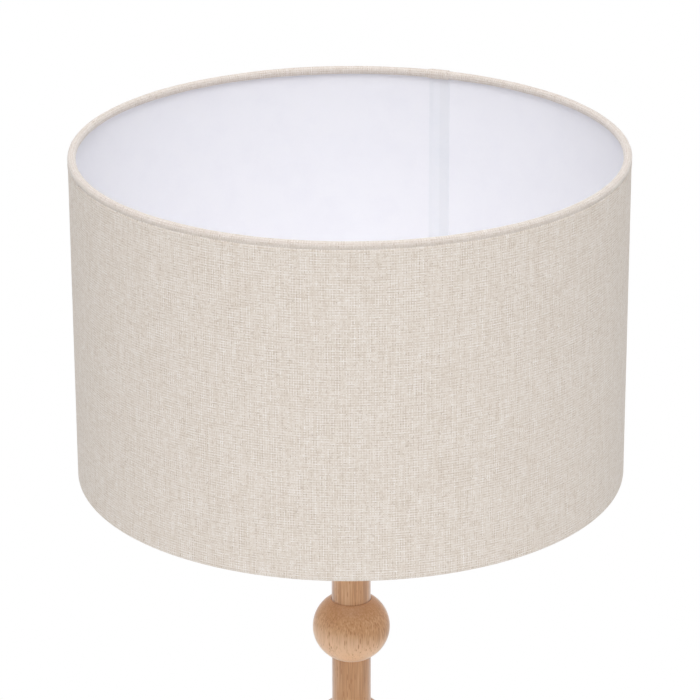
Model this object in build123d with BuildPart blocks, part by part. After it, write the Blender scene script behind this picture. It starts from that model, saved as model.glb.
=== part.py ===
from build123d import *
import os
from math import asin, cos, degrees, radians, sin, sqrt

# Column table lamp: a fabric drum shade on a column of turned wood balls and necks.
# Millimetres, +Z up, origin on the table under the middle of the foot.
# The user stands on the -Y side, and the shade's seam is at the back.

os.makedirs("parts", exist_ok=True)

# ---------------------------------------------------------------- driving dimensions
# shade
shade_bottom = 384.0  # height of the shade's lower edge above the table
shade_height = 216.0
shade_radius = 175.0  # outside of the fabric
fabric_thickness = 0.6
liner_thickness = 0.4
hem_tube_radius = 2.7  # rolled edge at each end of the shade
hem_proud = 0.3  # the hem tape lies this far outside the fabric
hem_leg = 6.0  # the tape covers this much of the fabric, measured from the edge
wire_radius = 1.6
wire_ring_radius = 171.95
wire_clearance = 0.05
seam_start = 67.5  # the laminated sheet overlaps itself over this arc, degrees from +X
seam_arc = 4.7
lap_thickness = 0.8
hem_lap_extra = 0.5
wall_in_hem = 0.7  # the wall's edge goes this far past the wire's centre
wire_throat = 0.4  # half height of the gap between the wire and the wall
lap_margin = 6.2  # the lap strip stops this far from each end of the shade

# column
ball_radius = 25.3
ball_half_height = 23.75
ball_pitch = 76.0
ball_below_shade = 113.5  # the top ball's centre below the shade's lower edge
ball_shoulder = 19.9  # the ball's curve ends at this height above its centre
ball_seat = 18.0  # a neck stands on this level inside the ball
ball_eased = 0.7  # depth of the eased edge round each seat
neck_radius = 12.75
neck_clearance = 0.2
neck_edge = 0.3
wood_bore = 5.3
column_gap = 6.0  # the column ends this far below the shade's lower edge

# foot
foot_radius = 80.0
foot_top = 26.0
foot_edge = 1.5  # chamfer under the rim
foot_rim_height = 11.0  # the straight part of the rim ends here
foot_shoulder_radius = 58.0
foot_shoulder_height = 23.0
foot_land_radius = 19.0  # flat on top that the lowest ball stands on
pad_radius = 75.0
pad_thickness = 2.0
recess_radius = 59.0
recess_top = 16.0
ballast_radius = 58.0
ballast_hole = 22.0
ballast_low = 5.0
ballast_gap = 14.0  # slot in the ballast that the cord goes through
screw_circle = 40.0
screw_angles = (30, 150, 270)
screw_radius = 1.95
screw_pilot = 2.0  # hole in the wood
screw_hole = 2.25  # hole in the ballast
screw_head_radius = 4.0
screw_head_low = 2.6
screw_tip = 22.0
pilot_top = 22.5
drive_length = 5.0  # cross drive in each head
drive_width = 0.9
drive_depth = 1.2
cord_height = 10.5
cord_hole_radius = 5.0
bush_radius = 4.95
bush_bore = 3.3
bush_inner_end = 57.0
bush_flange_radius = 6.8
bush_flange_thickness = 1.6
bush_flange_round = 0.7

# threaded rod and its fasteners
rod_radius = 5.0
rod_bore = 3.5
thread_clearance = 0.05
rod_low = 6.5
rod_top = 392.0
foot_nut_height = 6.0
foot_nut_radius = 9.8
washer_radius = 15.0
washer_thickness = 1.5
cap_radius = 13.6
cap_thickness = 2.5
cap_round = 1.2
lock_nut_height = 4.5
lock_nut_radius = 8.1

# lampholder, heights above the table
holder_low = 385.0
holder_radius = 20.0
boss_radius = 8.0
boss_height = 5.5
bell_height = 14.0  # the cap is full width from here up
bell_wall = 2.0
housing_low = 402.0
housing_top = 418.0
housing_wall = 2.4
skirt_bore = 16.6
shoulder_radius = 23.0
shoulder_top = 420.5
skirt_top = 447.0
thread_crest = 19.6
thread_root = 18.9
thread_pitch = 2.4
thread_run_in = 1.0  # plain length at each end of the thread
core_radius = 17.2
core_neck_radius = 16.0
core_low = 403.0
core_top = 424.0
shell_radius = 14.0
shell_bore = 13.5
shell_top = 445.0
shell_flange = 0.8
terminal_offset = 9.0
terminal_radius = 1.5
terminal_bore = 1.6
terminal_depth = 6.0
terminal_head_radius = 2.8
terminal_head_height = 1.8
terminal_slot = 0.8
contact_width = 5.0
contact_thickness = 0.6
contact_rise = 2.2

# push-bar switch through the lampholder
bar_height = 410.0
bar_radius = 3.0
bar_clearance = 0.08
bar_travel = 6.0
tip_radius = 4.5
tip_length = 4.0
tip_gap = 1.0
tip_round = 1.5
tip_socket = 3.0  # the bar goes this far into each tip

# fitter and clamp ring
fitter_low = 420.6
fitter_thickness = 1.6
fitter_bore = 20.3
fitter_radius = 30.0
arm_radius = 1.75
arm_angles = (90, 210, 330)
arm_start = 28.0
clamp_low = 422.3
clamp_flange = 27.0
clamp_flange_height = 2.0
clamp_collar = 23.0
clamp_top = 428.3
clamp_grips = 16
grip_radius = 1.4
grip_circle = 23.4

# bulb
tip_low = 427.0
tip_height = 2.0
tip_disc_radius = 4.5
bulb_shell_low = 432.5
bulb_crest = 13.1
bulb_root = 12.3
bulb_bore = 11.5
bulb_thread_pitch = 3.63  # the usual household screw cap
bulb_thread_turns = 4
bulb_neck_height = 452.0
globe_centre = 500.0
globe_radius = 30.0
globe_wall = 1.0
body_top = 484.0
body_floor = 2.0
body_wall = 1.8
board_thickness = 1.6
board_gap = 0.8

# ------------------------------------------------------------------- worked-out places
shade_top = shade_bottom + shade_height
column_top = shade_bottom - column_gap
top_ball_centre = shade_bottom - ball_below_shade
ball_centres = [top_ball_centre - ball_pitch * step for step in (2, 1, 0)]
foot_ball_centre = top_ball_centre - 3 * ball_pitch
seat_bore = neck_radius + neck_clearance
hem_centre_radius = shade_radius + hem_proud - hem_tube_radius
top_hem_centre = shade_top - hem_tube_radius
bottom_hem_centre = shade_bottom + hem_tube_radius
wall_low = bottom_hem_centre - wall_in_hem
wall_top = top_hem_centre + wall_in_hem
fabric_inside = shade_radius - fabric_thickness
liner_inside = fabric_inside - liner_thickness


def radial_plane(angle, height=0.0):
    """Upright plane through the lamp's axis: local x points out at the angle, local y is up."""
    outward = (cos(radians(angle)), sin(radians(angle)), 0)
    normal = (sin(radians(angle)), -cos(radians(angle)), 0)
    return Plane(origin=(0, 0, height), x_dir=outward, z_dir=normal)


def section(inner, outer, low, high, mode=Mode.ADD):
    """A rectangle in a radius-height sketch."""
    with Locations(((inner + outer) / 2, (low + high) / 2)):
        Rectangle(outer - inner, high - low, mode=mode)


# ------------------------------------------------------------------------------- foot
with BuildPart() as foot_pad:
    with BuildSketch():
        Circle(pad_radius)
    extrude(amount=pad_thickness)
foot_pad.part.label = "foot_pad"
export_step(foot_pad.part, "parts/foot_pad.step")

# Turned disc: straight rim, then a quarter of an ellipse up to a gently sloping top.
with BuildPart() as foot:
    with BuildSketch(Plane.XZ):
        with BuildLine():
            Polyline(
                (foot_shoulder_radius, foot_shoulder_height),
                (foot_land_radius, foot_top),
                (wood_bore, foot_top),
                (wood_bore, recess_top),
                (recess_radius, recess_top),
                (recess_radius, pad_thickness),
                (foot_radius - foot_edge, pad_thickness),
                (foot_radius, pad_thickness + foot_edge),
                (foot_radius, foot_rim_height),
            )
            EllipticalCenterArc(
                (foot_shoulder_radius, foot_rim_height),
                foot_radius - foot_shoulder_radius,
                foot_shoulder_height - foot_rim_height,
                0,
                arc_size=90,
            )
        make_face()
    revolve(axis=Axis.Z)
    with BuildSketch(Plane.XY.offset(recess_top)):
        for angle in screw_angles:
            with PolarLocations(screw_circle, 1, angle):
                Circle(screw_pilot)
    extrude(amount=pilot_top - recess_top, mode=Mode.SUBTRACT)
    with BuildSketch(Plane(origin=(0, recess_radius - 5, cord_height), z_dir=(0, 1, 0))):
        Circle(cord_hole_radius)
    extrude(amount=foot_radius, mode=Mode.SUBTRACT)
foot.part.label = "foot"
export_step(foot.part, "parts/foot.step")

with BuildPart() as ballast_ring:
    with BuildSketch(Plane.XY.offset(ballast_low)):
        Circle(ballast_radius)
        Circle(ballast_hole, mode=Mode.SUBTRACT)
        with Locations((0, ballast_radius)):
            Rectangle(ballast_gap, 2 * ballast_radius, mode=Mode.SUBTRACT)
        for angle in screw_angles:
            with PolarLocations(screw_circle, 1, angle):
                Circle(screw_hole, mode=Mode.SUBTRACT)
    extrude(amount=recess_top - ballast_low)
ballast_ring.part.label = "ballast_ring"
export_step(ballast_ring.part, "parts/ballast_ring.step")

with BuildPart() as ballast_screws:
    with BuildSketch(Plane.XY.offset(screw_head_low)):
        for angle in screw_angles:
            with PolarLocations(screw_circle, 1, angle):
                Circle(screw_head_radius)
    extrude(amount=ballast_low - screw_head_low)
    with BuildSketch(Plane.XY.offset(ballast_low)):
        for angle in screw_angles:
            with PolarLocations(screw_circle, 1, angle):
                Circle(screw_radius)
    extrude(amount=screw_tip - ballast_low)
    with BuildSketch(Plane.XY.offset(screw_head_low)):
        for angle in screw_angles:
            with PolarLocations(screw_circle, 1, angle):
                Rectangle(drive_length, drive_width)
                Rectangle(drive_width, drive_length)
    extrude(amount=drive_depth, mode=Mode.SUBTRACT)
ballast_screws.part.label = "ballast_screws"
export_step(ballast_screws.part, "parts/ballast_screws.step")

with BuildPart() as foot_washer:
    with BuildSketch(Plane.XY.offset(recess_top - washer_thickness)):
        Circle(washer_radius)
        Circle(wood_bore, mode=Mode.SUBTRACT)
    extrude(amount=washer_thickness)
foot_washer.part.label = "foot_washer"
export_step(foot_washer.part, "parts/foot_washer.step")

with BuildPart() as foot_nut:
    with BuildSketch(Plane.XY.offset(recess_top - washer_thickness - foot_nut_height)):
        RegularPolygon(foot_nut_radius, 6)
        Circle(rod_radius + thread_clearance, mode=Mode.SUBTRACT)
    extrude(amount=foot_nut_height)
foot_nut.part.label = "foot_nut"
export_step(foot_nut.part, "parts/foot_nut.step")

# Bush with a flange outside, where the mains lead enters the foot from behind.
with BuildPart() as cord_bush:
    with BuildSketch(Plane(origin=(0, bush_inner_end, cord_height), z_dir=(0, 1, 0))):
        Circle(bush_radius)
    extrude(amount=foot_radius - bush_inner_end)
    with BuildSketch(Plane(origin=(0, foot_radius, cord_height), z_dir=(0, 1, 0))):
        Circle(bush_flange_radius)
    extrude(amount=bush_flange_thickness)
    fillet(cord_bush.faces().sort_by(Axis.Y)[-1].edges(), bush_flange_round)
    with BuildSketch(Plane(origin=(0, bush_inner_end, cord_height), z_dir=(0, 1, 0))):
        Circle(bush_bore)
    extrude(amount=foot_radius, mode=Mode.SUBTRACT)
cord_bush.part.label = "cord_bush"
export_step(cord_bush.part, "parts/cord_bush.step")

# ----------------------------------------------------------------------------- column
shoulder_angle = degrees(asin(ball_shoulder / ball_half_height))
shoulder_width = ball_radius * cos(radians(shoulder_angle))
eased_level = ball_shoulder - ball_eased

# Slightly flattened balls, bored through, with a seat for a neck at both ends.
for name, centre in zip(("ball_lower", "ball_middle", "ball_upper"), ball_centres):
    with BuildPart() as ball:
        with BuildSketch(radial_plane(0, centre)):
            with BuildLine():
                for start in (-shoulder_angle, 0):  # below the widest point, then above it
                    EllipticalCenterArc(
                        (0, 0), ball_radius, ball_half_height, start, arc_size=shoulder_angle
                    )
                Polyline(
                    (shoulder_width, ball_shoulder),
                    (seat_bore, eased_level),
                    (seat_bore, ball_seat),
                    (wood_bore, ball_seat),
                    (wood_bore, -ball_seat),
                    (seat_bore, -ball_seat),
                    (seat_bore, -eased_level),
                    (shoulder_width, -ball_shoulder),
                )
            make_face()
        revolve(axis=Axis.Z)
    ball.part.label = name
    export_step(ball.part, f"parts/{name}.step")

# The lowest ball is cut flat and stands on the foot.
foot_ball_cut = foot_top - foot_ball_centre
cut_angle = degrees(asin(foot_ball_cut / ball_half_height))
cut_width = ball_radius * cos(radians(cut_angle))

with BuildPart() as foot_ball:
    with BuildSketch(radial_plane(0, foot_ball_centre)):
        with BuildLine():
            EllipticalCenterArc(
                (0, 0),
                ball_radius,
                ball_half_height,
                cut_angle,
                arc_size=shoulder_angle - cut_angle,
            )
            Polyline(
                (shoulder_width, ball_shoulder),
                (seat_bore, eased_level),
                (seat_bore, ball_seat),
                (wood_bore, ball_seat),
                (wood_bore, foot_ball_cut),
                (cut_width, foot_ball_cut),
            )
        make_face()
    revolve(axis=Axis.Z)
foot_ball.part.label = "foot_ball"
export_step(foot_ball.part, "parts/foot_ball.step")

neck_lows = [foot_ball_centre + ball_seat] + [centre + ball_seat for centre in ball_centres]
neck_highs = [centre - ball_seat for centre in ball_centres] + [column_top]
neck_names = ("neck_lowest", "neck_lower", "neck_middle", "neck_upper")

for name, low, high in zip(neck_names, neck_lows, neck_highs):
    with BuildPart() as neck:
        with BuildSketch(Plane.XY.offset(low)):
            Circle(neck_radius)
            Circle(wood_bore, mode=Mode.SUBTRACT)
        extrude(amount=high - low)
        chamfer(neck.edges().filter_by(GeomType.CIRCLE).group_by(SortBy.RADIUS)[-1], neck_edge)
    neck.part.label = name
    export_step(neck.part, f"parts/{name}.step")

with BuildPart() as threaded_rod:
    with BuildSketch(Plane.XY.offset(rod_low)):
        Circle(rod_radius)
        Circle(rod_bore, mode=Mode.SUBTRACT)
    extrude(amount=rod_top - rod_low)
threaded_rod.part.label = "threaded_rod"
export_step(threaded_rod.part, "parts/threaded_rod.step")

with BuildPart() as column_cap:
    with BuildSketch(Plane.XY.offset(column_top)):
        Circle(cap_radius)
        Circle(wood_bore, mode=Mode.SUBTRACT)
    extrude(amount=cap_thickness)
    fillet(column_cap.edges().group_by(Axis.Z)[-1].sort_by(SortBy.RADIUS)[-1], cap_round)
column_cap.part.label = "column_cap"
export_step(column_cap.part, "parts/column_cap.step")

with BuildPart() as lock_nut:
    with BuildSketch(Plane.XY.offset(column_top + cap_thickness)):
        RegularPolygon(lock_nut_radius, 6)
        Circle(rod_radius + thread_clearance, mode=Mode.SUBTRACT)
    extrude(amount=lock_nut_height)
lock_nut.part.label = "lock_nut"
export_step(lock_nut.part, "parts/lock_nut.step")

# ------------------------------------------------------------------------- lampholder
housing_bore = holder_radius - housing_wall

# Lower cap: a boss on the rod that opens out like a bell.
with BuildPart() as holder_cap:
    with BuildSketch(Plane.XZ):
        with BuildLine():
            Polyline(
                (rod_radius + thread_clearance, holder_low),
                (boss_radius, holder_low),
                (boss_radius, holder_low + boss_height),
                (holder_radius, holder_low + bell_height),
                (holder_radius, housing_low),
                (housing_bore, housing_low),
                (housing_bore, holder_low + bell_height + bell_wall / 2),
                (boss_radius, holder_low + boss_height + bell_wall),
                (rod_radius + thread_clearance, holder_low + boss_height + bell_wall),
                close=True,
            )
        make_face()
    revolve(axis=Axis.Z)
holder_cap.part.label = "holder_cap"
export_step(holder_cap.part, "parts/holder_cap.step")

bar_plane = Plane(origin=(-holder_radius - 1, 0, bar_height), z_dir=(1, 0, 0))

with BuildPart() as holder_housing:
    with BuildSketch(Plane.XZ):
        section(housing_bore, holder_radius, housing_low, housing_top)
    revolve(axis=Axis.Z)
    with BuildSketch(bar_plane):
        Circle(bar_radius + bar_clearance)
    extrude(amount=2 * holder_radius + 2, mode=Mode.SUBTRACT)
holder_housing.part.label = "holder_housing"
export_step(holder_housing.part, "parts/holder_housing.step")

# Insulating core: the switch bar runs through it and the lamp's contacts stand on it.
with BuildPart() as holder_core:
    with BuildSketch(Plane.XZ):
        section(0, core_radius, core_low, housing_top)
        section(0, core_neck_radius, housing_top, core_top)
    revolve(axis=Axis.Z)
    with BuildSketch(bar_plane):
        Circle(bar_radius + bar_clearance)
    extrude(amount=2 * holder_radius + 2, mode=Mode.SUBTRACT)
    with BuildSketch(Plane.XY.offset(core_low)):
        with Locations((0, terminal_offset), (0, -terminal_offset)):
            Circle(terminal_bore)
    extrude(amount=terminal_depth, mode=Mode.SUBTRACT)
holder_core.part.label = "holder_core"
export_step(holder_core.part, "parts/holder_core.step")

with BuildPart() as terminal_screws:
    with BuildSketch(Plane.XY.offset(core_low)):
        with Locations((0, terminal_offset), (0, -terminal_offset)):
            Circle(terminal_radius)
    extrude(amount=terminal_depth)
    with BuildSketch(Plane.XY.offset(core_low)):
        with Locations((0, terminal_offset), (0, -terminal_offset)):
            Circle(terminal_head_radius)
    extrude(amount=-terminal_head_height)
    with BuildSketch(Plane.XY.offset(core_low - terminal_head_height)):
        with Locations((0, terminal_offset), (0, -terminal_offset)):
            Rectangle(3 * terminal_head_radius, terminal_slot)
    extrude(amount=terminal_slot, mode=Mode.SUBTRACT)
terminal_screws.part.label = "terminal_screws"
export_step(terminal_screws.part, "parts/terminal_screws.step")

# Skirt: a shoulder that the shade's fitter sits on, and a thread for the clamp ring.
thread_turns = int((skirt_top - shoulder_top - 2 * thread_run_in) / thread_pitch)
thread_outline = []
for turn in range(thread_turns):
    level = shoulder_top + thread_run_in + turn * thread_pitch
    thread_outline += [(thread_crest, level), (thread_root, level + thread_pitch / 2)]

with BuildPart() as holder_skirt:
    with BuildSketch(Plane.XZ):
        with BuildLine():
            Polyline(
                (skirt_bore, housing_top),
                (shoulder_radius, housing_top),
                (shoulder_radius, shoulder_top),
                (thread_crest, shoulder_top),
                *thread_outline,
                (thread_crest, skirt_top - thread_run_in),
                (thread_crest - thread_run_in, skirt_top),
                (skirt_bore, skirt_top),
                close=True,
            )
        make_face()
    revolve(axis=Axis.Z)
holder_skirt.part.label = "holder_skirt"
export_step(holder_skirt.part, "parts/holder_skirt.step")

with BuildPart() as screw_shell:
    with BuildSketch(Plane.XZ):
        section(shell_bore, shell_radius, core_top, shell_top)
        section(shell_radius, core_neck_radius, core_top, core_top + shell_flange)
    revolve(axis=Axis.Z)
screw_shell.part.label = "screw_shell"
export_step(screw_shell.part, "parts/screw_shell.step")

# Sprung tongue under the bulb's tip: a flat foot, a ramp and a raised pad.
with BuildPart() as centre_contact:
    with BuildSketch(Plane.XZ):
        with BuildLine():
            Polyline(
                (-9, core_top),
                (-5, core_top),
                (-1.5, core_top + contact_rise),
                (4, core_top + contact_rise),
                (4, core_top + contact_rise + contact_thickness),
                (-1.7, core_top + contact_rise + contact_thickness),
                (-5.2, core_top + contact_thickness),
                (-9, core_top + contact_thickness),
                close=True,
            )
        make_face()
    extrude(amount=contact_width / 2, both=True)
centre_contact.part.label = "centre_contact"
export_step(centre_contact.part, "parts/centre_contact.step")

# Push bar, drawn at its off position: it slides towards +X to switch on.
right_tip_start = holder_radius + tip_gap
left_tip_end = -holder_radius - tip_gap - bar_travel

with BuildPart() as switch_bar:
    with BuildSketch(Plane(origin=(left_tip_end - tip_socket, 0, bar_height), z_dir=(1, 0, 0))):
        Circle(bar_radius)
    extrude(amount=right_tip_start - left_tip_end + 2 * tip_socket)
switch_bar.part.label = "switch_bar"
export_step(switch_bar.part, "parts/switch_bar.step")

with BuildPart() as switch_tips:
    with BuildSketch(Plane(origin=(right_tip_start, 0, bar_height), z_dir=(1, 0, 0))):
        Circle(tip_radius)
    extrude(amount=tip_length)
    with BuildSketch(Plane(origin=(left_tip_end, 0, bar_height), z_dir=(-1, 0, 0))):
        Circle(tip_radius)
    extrude(amount=tip_length)
    ends = switch_tips.faces().filter_by(Axis.X).sort_by(Axis.X)
    fillet([*ends[0].edges(), *ends[-1].edges()], tip_round)
    with BuildSketch(Plane(origin=(left_tip_end - tip_socket, 0, bar_height), z_dir=(1, 0, 0))):
        Circle(bar_radius)
    extrude(amount=right_tip_start - left_tip_end + 2 * tip_socket, mode=Mode.SUBTRACT)
switch_tips.part.label = "switch_tips"
export_step(switch_tips.part, "parts/switch_tips.step")

# ------------------------------------------------------------ fitter, arms and wires
with BuildPart() as fitter_ring:
    with BuildSketch(Plane.XY.offset(fitter_low)):
        Circle(fitter_radius)
        Circle(fitter_bore, mode=Mode.SUBTRACT)
    extrude(amount=fitter_thickness)
fitter_ring.part.label = "fitter_ring"
export_step(fitter_ring.part, "parts/fitter_ring.step")

# Three straight arms slope from the fitter ring down to the lower wire.
arm_drop = fitter_low + fitter_thickness / 2 - bottom_hem_centre
arm_run = wire_ring_radius - arm_start
arm_length = sqrt(arm_run**2 + arm_drop**2)


def arm_plane(angle):
    """Plane square to one arm, at the arm's inner end, with its normal down the arm."""
    ahead = arm_run / arm_length
    down = arm_drop / arm_length
    outward = (cos(radians(angle)), sin(radians(angle)))
    start = (arm_start * outward[0], arm_start * outward[1], bottom_hem_centre + arm_drop)
    return Plane(origin=start, z_dir=(ahead * outward[0], ahead * outward[1], -down))


with BuildPart() as fitter_arms:
    for angle in arm_angles:
        with BuildSketch(arm_plane(angle)):
            Circle(arm_radius)
        extrude(amount=arm_length)
fitter_arms.part.label = "fitter_arms"
export_step(fitter_arms.part, "parts/fitter_arms.step")

for name, level in (("bottom_wire", bottom_hem_centre), ("top_wire", top_hem_centre)):
    with BuildPart() as wire:
        with BuildSketch(Plane.XZ):
            with Locations((wire_ring_radius, level)):
                Circle(wire_radius)
        revolve(axis=Axis.Z)
    wire.part.label = name
    export_step(wire.part, f"parts/{name}.step")

# Clamp ring with finger grips round its collar.
with BuildPart() as clamp_ring:
    with BuildSketch(Plane.XZ):
        section(thread_crest + thread_clearance, clamp_collar, clamp_low, clamp_top)
        section(clamp_collar, clamp_flange, clamp_low, clamp_low + clamp_flange_height)
    revolve(axis=Axis.Z)
    with BuildSketch(Plane.XY.offset(clamp_low + clamp_flange_height)):
        with PolarLocations(grip_circle, clamp_grips):
            Circle(grip_radius)
    extrude(amount=clamp_top, mode=Mode.SUBTRACT)
clamp_ring.part.label = "clamp_ring"
export_step(clamp_ring.part, "parts/clamp_ring.step")

# ------------------------------------------------------------------------------ shade
with BuildPart() as shade_liner:
    with BuildSketch(Plane.XZ):
        section(liner_inside, fabric_inside, wall_low, wall_top)
    revolve(axis=Axis.Z)
shade_liner.part.label = "shade_liner"
export_step(shade_liner.part, "parts/shade_liner.step")

with BuildPart() as shade_fabric:
    with BuildSketch(Plane.XZ):
        section(fabric_inside, shade_radius, wall_low, wall_top)
    revolve(axis=Axis.Z)
shade_fabric.part.label = "shade_fabric"
export_step(shade_fabric.part, "parts/shade_fabric.step")

# The end of the laminated sheet, lapped inside the drum.
with BuildPart() as shade_lap:
    with BuildSketch(radial_plane(seam_start)):
        section(
            liner_inside - lap_thickness,
            liner_inside,
            shade_bottom + lap_margin,
            shade_top - lap_margin,
        )
    revolve(axis=Axis.Z, revolution_arc=seam_arc)
shade_lap.part.label = "shade_lap"
export_step(shade_lap.part, "parts/shade_lap.step")


def hem_section(level, side, extra=0.0):
    """Section of a hem: a roll round the wire, open towards the wall, and a leg on the fabric.

    side is +1 for the top hem, whose leg hangs down, and -1 for the bottom hem.
    """
    with Locations((hem_centre_radius, level)):
        Circle(hem_tube_radius + extra)
    leg_end = level - side * (hem_leg - hem_tube_radius)
    section(
        shade_radius, shade_radius + hem_proud + extra, min(level, leg_end), max(level, leg_end)
    )
    with Locations((wire_ring_radius, level)):
        Circle(wire_radius + wire_clearance, mode=Mode.SUBTRACT)
    section(
        wire_ring_radius,
        liner_inside,
        level - wire_throat,
        level + wire_throat,
        mode=Mode.SUBTRACT,
    )
    slot_end = level + side * wall_in_hem
    slot_mouth = level - side * 2 * hem_leg
    section(
        liner_inside,
        shade_radius,
        min(slot_end, slot_mouth),
        max(slot_end, slot_mouth),
        mode=Mode.SUBTRACT,
    )


for name, level, side in (
    ("top_hem", top_hem_centre, 1),
    ("bottom_hem", bottom_hem_centre, -1),
):
    with BuildPart() as hem:
        with BuildSketch(Plane.XZ):
            hem_section(level, side)
        revolve(axis=Axis.Z)
        with BuildSketch(radial_plane(seam_start)):
            hem_section(level, side, hem_lap_extra)
        revolve(axis=Axis.Z, revolution_arc=seam_arc)
        if name == "bottom_hem":
            for angle in arm_angles:
                with BuildSketch(arm_plane(angle)):
                    Circle(arm_radius + 0.3)
                extrude(amount=arm_length, mode=Mode.SUBTRACT)
    hem.part.label = name
    export_step(hem.part, f"parts/{name}.step")

# ------------------------------------------------------------------------------- bulb
with BuildPart() as bulb_tip:
    with BuildSketch(Plane.XY.offset(tip_low)):
        Circle(tip_disc_radius)
    extrude(amount=tip_height)
    fillet(bulb_tip.edges().group_by(Axis.Z)[0], tip_height * 0.4)
bulb_tip.part.label = "bulb_tip"
export_step(bulb_tip.part, "parts/bulb_tip.step")

with BuildPart() as bulb_insulator:
    with BuildSketch(Plane.XZ):
        with BuildLine():
            Polyline(
                (0, tip_low + tip_height),
                (tip_disc_radius, tip_low + tip_height),
                (bulb_bore, bulb_shell_low),
                (0, bulb_shell_low),
                close=True,
            )
        make_face()
    revolve(axis=Axis.Z)
bulb_insulator.part.label = "bulb_insulator"
export_step(bulb_insulator.part, "parts/bulb_insulator.step")

bulb_thread = []
for turn in range(bulb_thread_turns):
    level = bulb_shell_low + thread_run_in + turn * bulb_thread_pitch
    bulb_thread += [(bulb_root, level), (bulb_crest, level + bulb_thread_pitch / 2)]

with BuildPart() as bulb_shell:
    with BuildSketch(Plane.XZ):
        with BuildLine():
            Polyline(
                (bulb_bore, bulb_shell_low),
                (bulb_root, bulb_shell_low),
                *bulb_thread,
                (bulb_root, bulb_neck_height - 2.5 * thread_run_in),
                (bulb_crest, bulb_neck_height - 2 * thread_run_in),
                (bulb_crest, bulb_neck_height),
                (bulb_bore, bulb_neck_height),
                close=True,
            )
        make_face()
    revolve(axis=Axis.Z)
bulb_shell.part.label = "bulb_shell"
export_step(bulb_shell.part, "parts/bulb_shell.step")

globe_foot_radius = sqrt(globe_radius**2 - (globe_centre - body_top) ** 2)
globe_foot_angle = degrees(asin((body_top - globe_centre) / globe_radius))

# Body between the cap and the globe: a flaring shell.
with BuildPart() as bulb_body:
    with BuildSketch(Plane.XZ):
        with BuildLine():
            outer = Spline(
                (bulb_crest + 0.6, bulb_neck_height),
                (bulb_crest + 5, bulb_neck_height + 15),
                (globe_foot_radius, body_top),
                tangents=[(0.1, 1), (0.35, 1)],
            )
            Polyline(
                outer @ 1,
                (globe_foot_radius - body_wall, body_top),
                (bulb_crest + 2.6, bulb_neck_height + 14),
                (bulb_crest - 1.4, bulb_neck_height + body_floor),
                (0, bulb_neck_height + body_floor),
                (0, bulb_neck_height),
                outer @ 0,
            )
        make_face()
    revolve(axis=Axis.Z)
bulb_body.part.label = "bulb_body"
export_step(bulb_body.part, "parts/bulb_body.step")

with BuildPart() as bulb_board:
    with BuildSketch(Plane.XY.offset(body_top - board_thickness)):
        Circle(globe_foot_radius - body_wall - board_gap)
    extrude(amount=board_thickness)
bulb_board.part.label = "bulb_board"
export_step(bulb_board.part, "parts/bulb_board.step")

# Opal globe: a thin ball, open where it stands on the body.
inner_foot_radius = sqrt((globe_radius - globe_wall) ** 2 - (globe_centre - body_top) ** 2)
inner_foot_angle = degrees(asin((body_top - globe_centre) / (globe_radius - globe_wall)))

with BuildPart() as bulb_globe:
    with BuildSketch(radial_plane(0, globe_centre)):
        with BuildLine():
            CenterArc((0, 0), globe_radius, globe_foot_angle, 90 - globe_foot_angle)
            CenterArc((0, 0), globe_radius - globe_wall, inner_foot_angle, 90 - inner_foot_angle)
            Line((0, globe_radius - globe_wall), (0, globe_radius))
            Line(
                (inner_foot_radius, body_top - globe_centre),
                (globe_foot_radius, body_top - globe_centre),
            )
        make_face()
    revolve(axis=Axis.Z)
bulb_globe.part.label = "bulb_globe"
export_step(bulb_globe.part, "parts/bulb_globe.step")
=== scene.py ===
import math

import bpy
import numpy as np
from mathutils import Euler, Matrix, Vector


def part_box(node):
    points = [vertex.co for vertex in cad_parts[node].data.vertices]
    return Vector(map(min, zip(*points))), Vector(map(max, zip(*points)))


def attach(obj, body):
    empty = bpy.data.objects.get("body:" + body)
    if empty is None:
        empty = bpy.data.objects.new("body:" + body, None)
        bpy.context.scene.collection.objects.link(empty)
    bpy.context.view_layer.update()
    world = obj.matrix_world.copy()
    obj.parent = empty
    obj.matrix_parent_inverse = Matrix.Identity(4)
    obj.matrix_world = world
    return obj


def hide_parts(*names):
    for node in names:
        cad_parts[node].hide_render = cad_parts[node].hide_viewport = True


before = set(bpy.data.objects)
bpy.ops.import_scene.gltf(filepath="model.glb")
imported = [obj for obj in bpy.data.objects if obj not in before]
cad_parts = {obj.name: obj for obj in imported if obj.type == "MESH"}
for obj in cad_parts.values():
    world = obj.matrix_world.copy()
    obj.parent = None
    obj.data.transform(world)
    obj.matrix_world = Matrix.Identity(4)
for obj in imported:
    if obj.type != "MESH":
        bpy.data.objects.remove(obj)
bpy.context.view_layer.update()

# Column table lamp: a linen-look drum shade on a column of turned wood balls and necks.
# Shapes are worked out in millimetres and stored in metres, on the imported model's own origin:
# table top at height 0, the user on the -Y side, the shade's seam at the back right.
scene = bpy.context.scene
inMetres = 0.001


def nodeBox(name):
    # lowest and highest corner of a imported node, in millimetres
    low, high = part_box(name)
    return np.array(low) / inMetres, np.array(high) / inMetres


# ---- meshes from arrays


def unit(vectors):
    # each vector divided by its own length
    return vectors / np.linalg.norm(vectors, axis=-1, keepdims=True)


def smoothStep(low, high, value):
    # 0 below low, 1 above high, and the cubic 3t^2 - 2t^3 between them
    t = np.clip((value - low) / (high - low), 0, 1)
    return t * t * (3 - 2 * t)


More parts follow.
